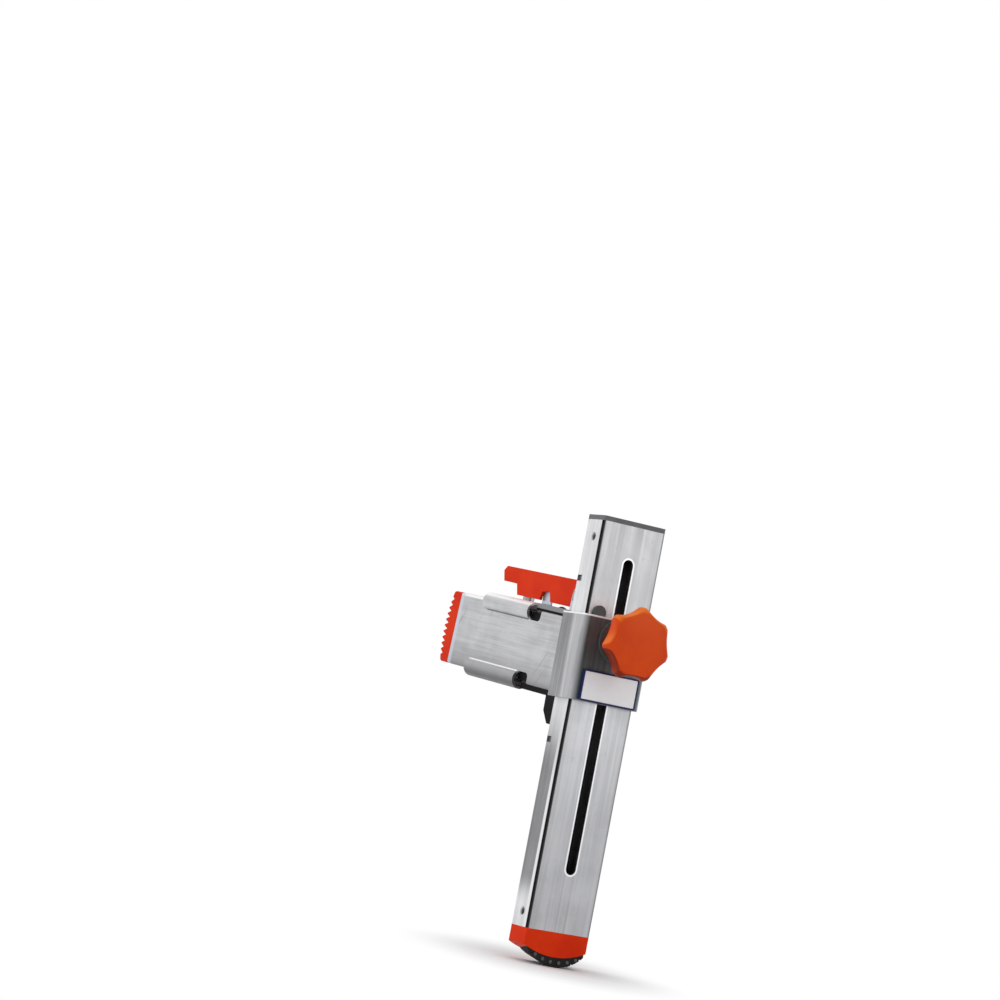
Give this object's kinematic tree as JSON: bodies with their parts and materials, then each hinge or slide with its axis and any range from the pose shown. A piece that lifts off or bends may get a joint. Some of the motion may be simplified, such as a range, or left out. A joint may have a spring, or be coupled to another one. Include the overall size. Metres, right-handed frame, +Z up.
{
  "type": "ladder leveller",
  "caption": "Sleeve that slides over the end of a ladder's crossbar and carries a slotted sliding leg with a rubber foot, a star-knob clamp and a latch lever.",
  "frame": {"origin": "centre of the mouth of the crossbar socket, at the collar's outer face", "axes": "X along the crossbar outwards, away from the ladder; Y from the front of the ladder to its back; Z up along the ladder, square to the crossbar"},
  "size_m": [0.2961, 0.0688, 0.3677],
  "materials": {
    "sleeve_aluminium": "mill finish, fine brushing",
    "guide_aluminium": "brushed",
    "leg_aluminium": "mill finish, drawn lengthwise",
    "rivet_metal": "satin",
    "weld_metal": "rough",
    "steel": "zinc plated",
    "dark_steel": "oiled",
    "brass": "turned",
    "orange_plastic": "moulded, satin",
    "black_plastic": "moulded, matte",
    "grey_plastic": "moulded, matte",
    "white_plastic": "smooth",
    "blue_plastic": "smooth",
    "tread_rubber": "moulded, matte"
  },
  "bodies": {
    "sleeve": {"sleeve_tube": "sleeve_aluminium", "mouth_collar": "orange_plastic", "bar_stop": "black_plastic", "stop_rivets": "rivet_metal", "guide_box": "guide_aluminium", "weld_beads": "weld_metal", "guide_liner": "black_plastic", "name_plate": "white_plastic", "plate_frame": "blue_plastic", "guide_pad": "black_plastic", "pad_screws": "steel", "latch_pad": "black_plastic", "latch_base": "guide_aluminium", "base_rivets": "rivet_metal", "latch_pin": "steel", "pin_clips": "dark_steel", "latch_spring": "dark_steel", "clamp_plate": "steel", "clamp_bolt": "steel"},
    "latch": {"latch_lever": "orange_plastic", "lock_pin": "steel"},
    "leg": {"leg_tube": "leg_aluminium", "leg_cap": "grey_plastic", "cap_rivets": "rivet_metal", "foot_shoe": "orange_plastic", "foot_tread": "tread_rubber", "shoe_rivets": "rivet_metal"},
    "washer": {"clamp_washer": "steel"},
    "knob": {"star_knob": "orange_plastic", "knob_insert": "brass"}
  },
  "joints": [
    {"name": "leg_slide", "type": "slide", "parent": "sleeve", "child": "leg", "axis": [-0.061, 0, 0.9981], "range_m": [-0.058, 0.17]},
    {"name": "latch_lift", "type": "hinge", "parent": "sleeve", "child": "latch", "pos_m": [0.196, 0, 0.05], "axis": [0, 1, 0], "range_deg": [0, 35], "stiffness_Nm_per_rad": 0.3, "springref_deg": -34.38, "deforming": ["latch_spring"]},
    {"name": "washer_slide", "type": "slide", "parent": "sleeve", "child": "washer", "axis": [0.9981, 0, 0.061], "range_m": [0, 0.0025]},
    {"name": "knob_turn", "type": "hinge", "parent": "washer", "child": "knob", "pos_m": [0.23381, 0, 0.01946], "axis": [0.9981, 0, 0.061], "range_deg": [0, 720]}
  ],
  "couplings": [
    {"joint": "knob_turn", "follows": "washer_slide", "rad_per_m": 5026.5}
  ]
}
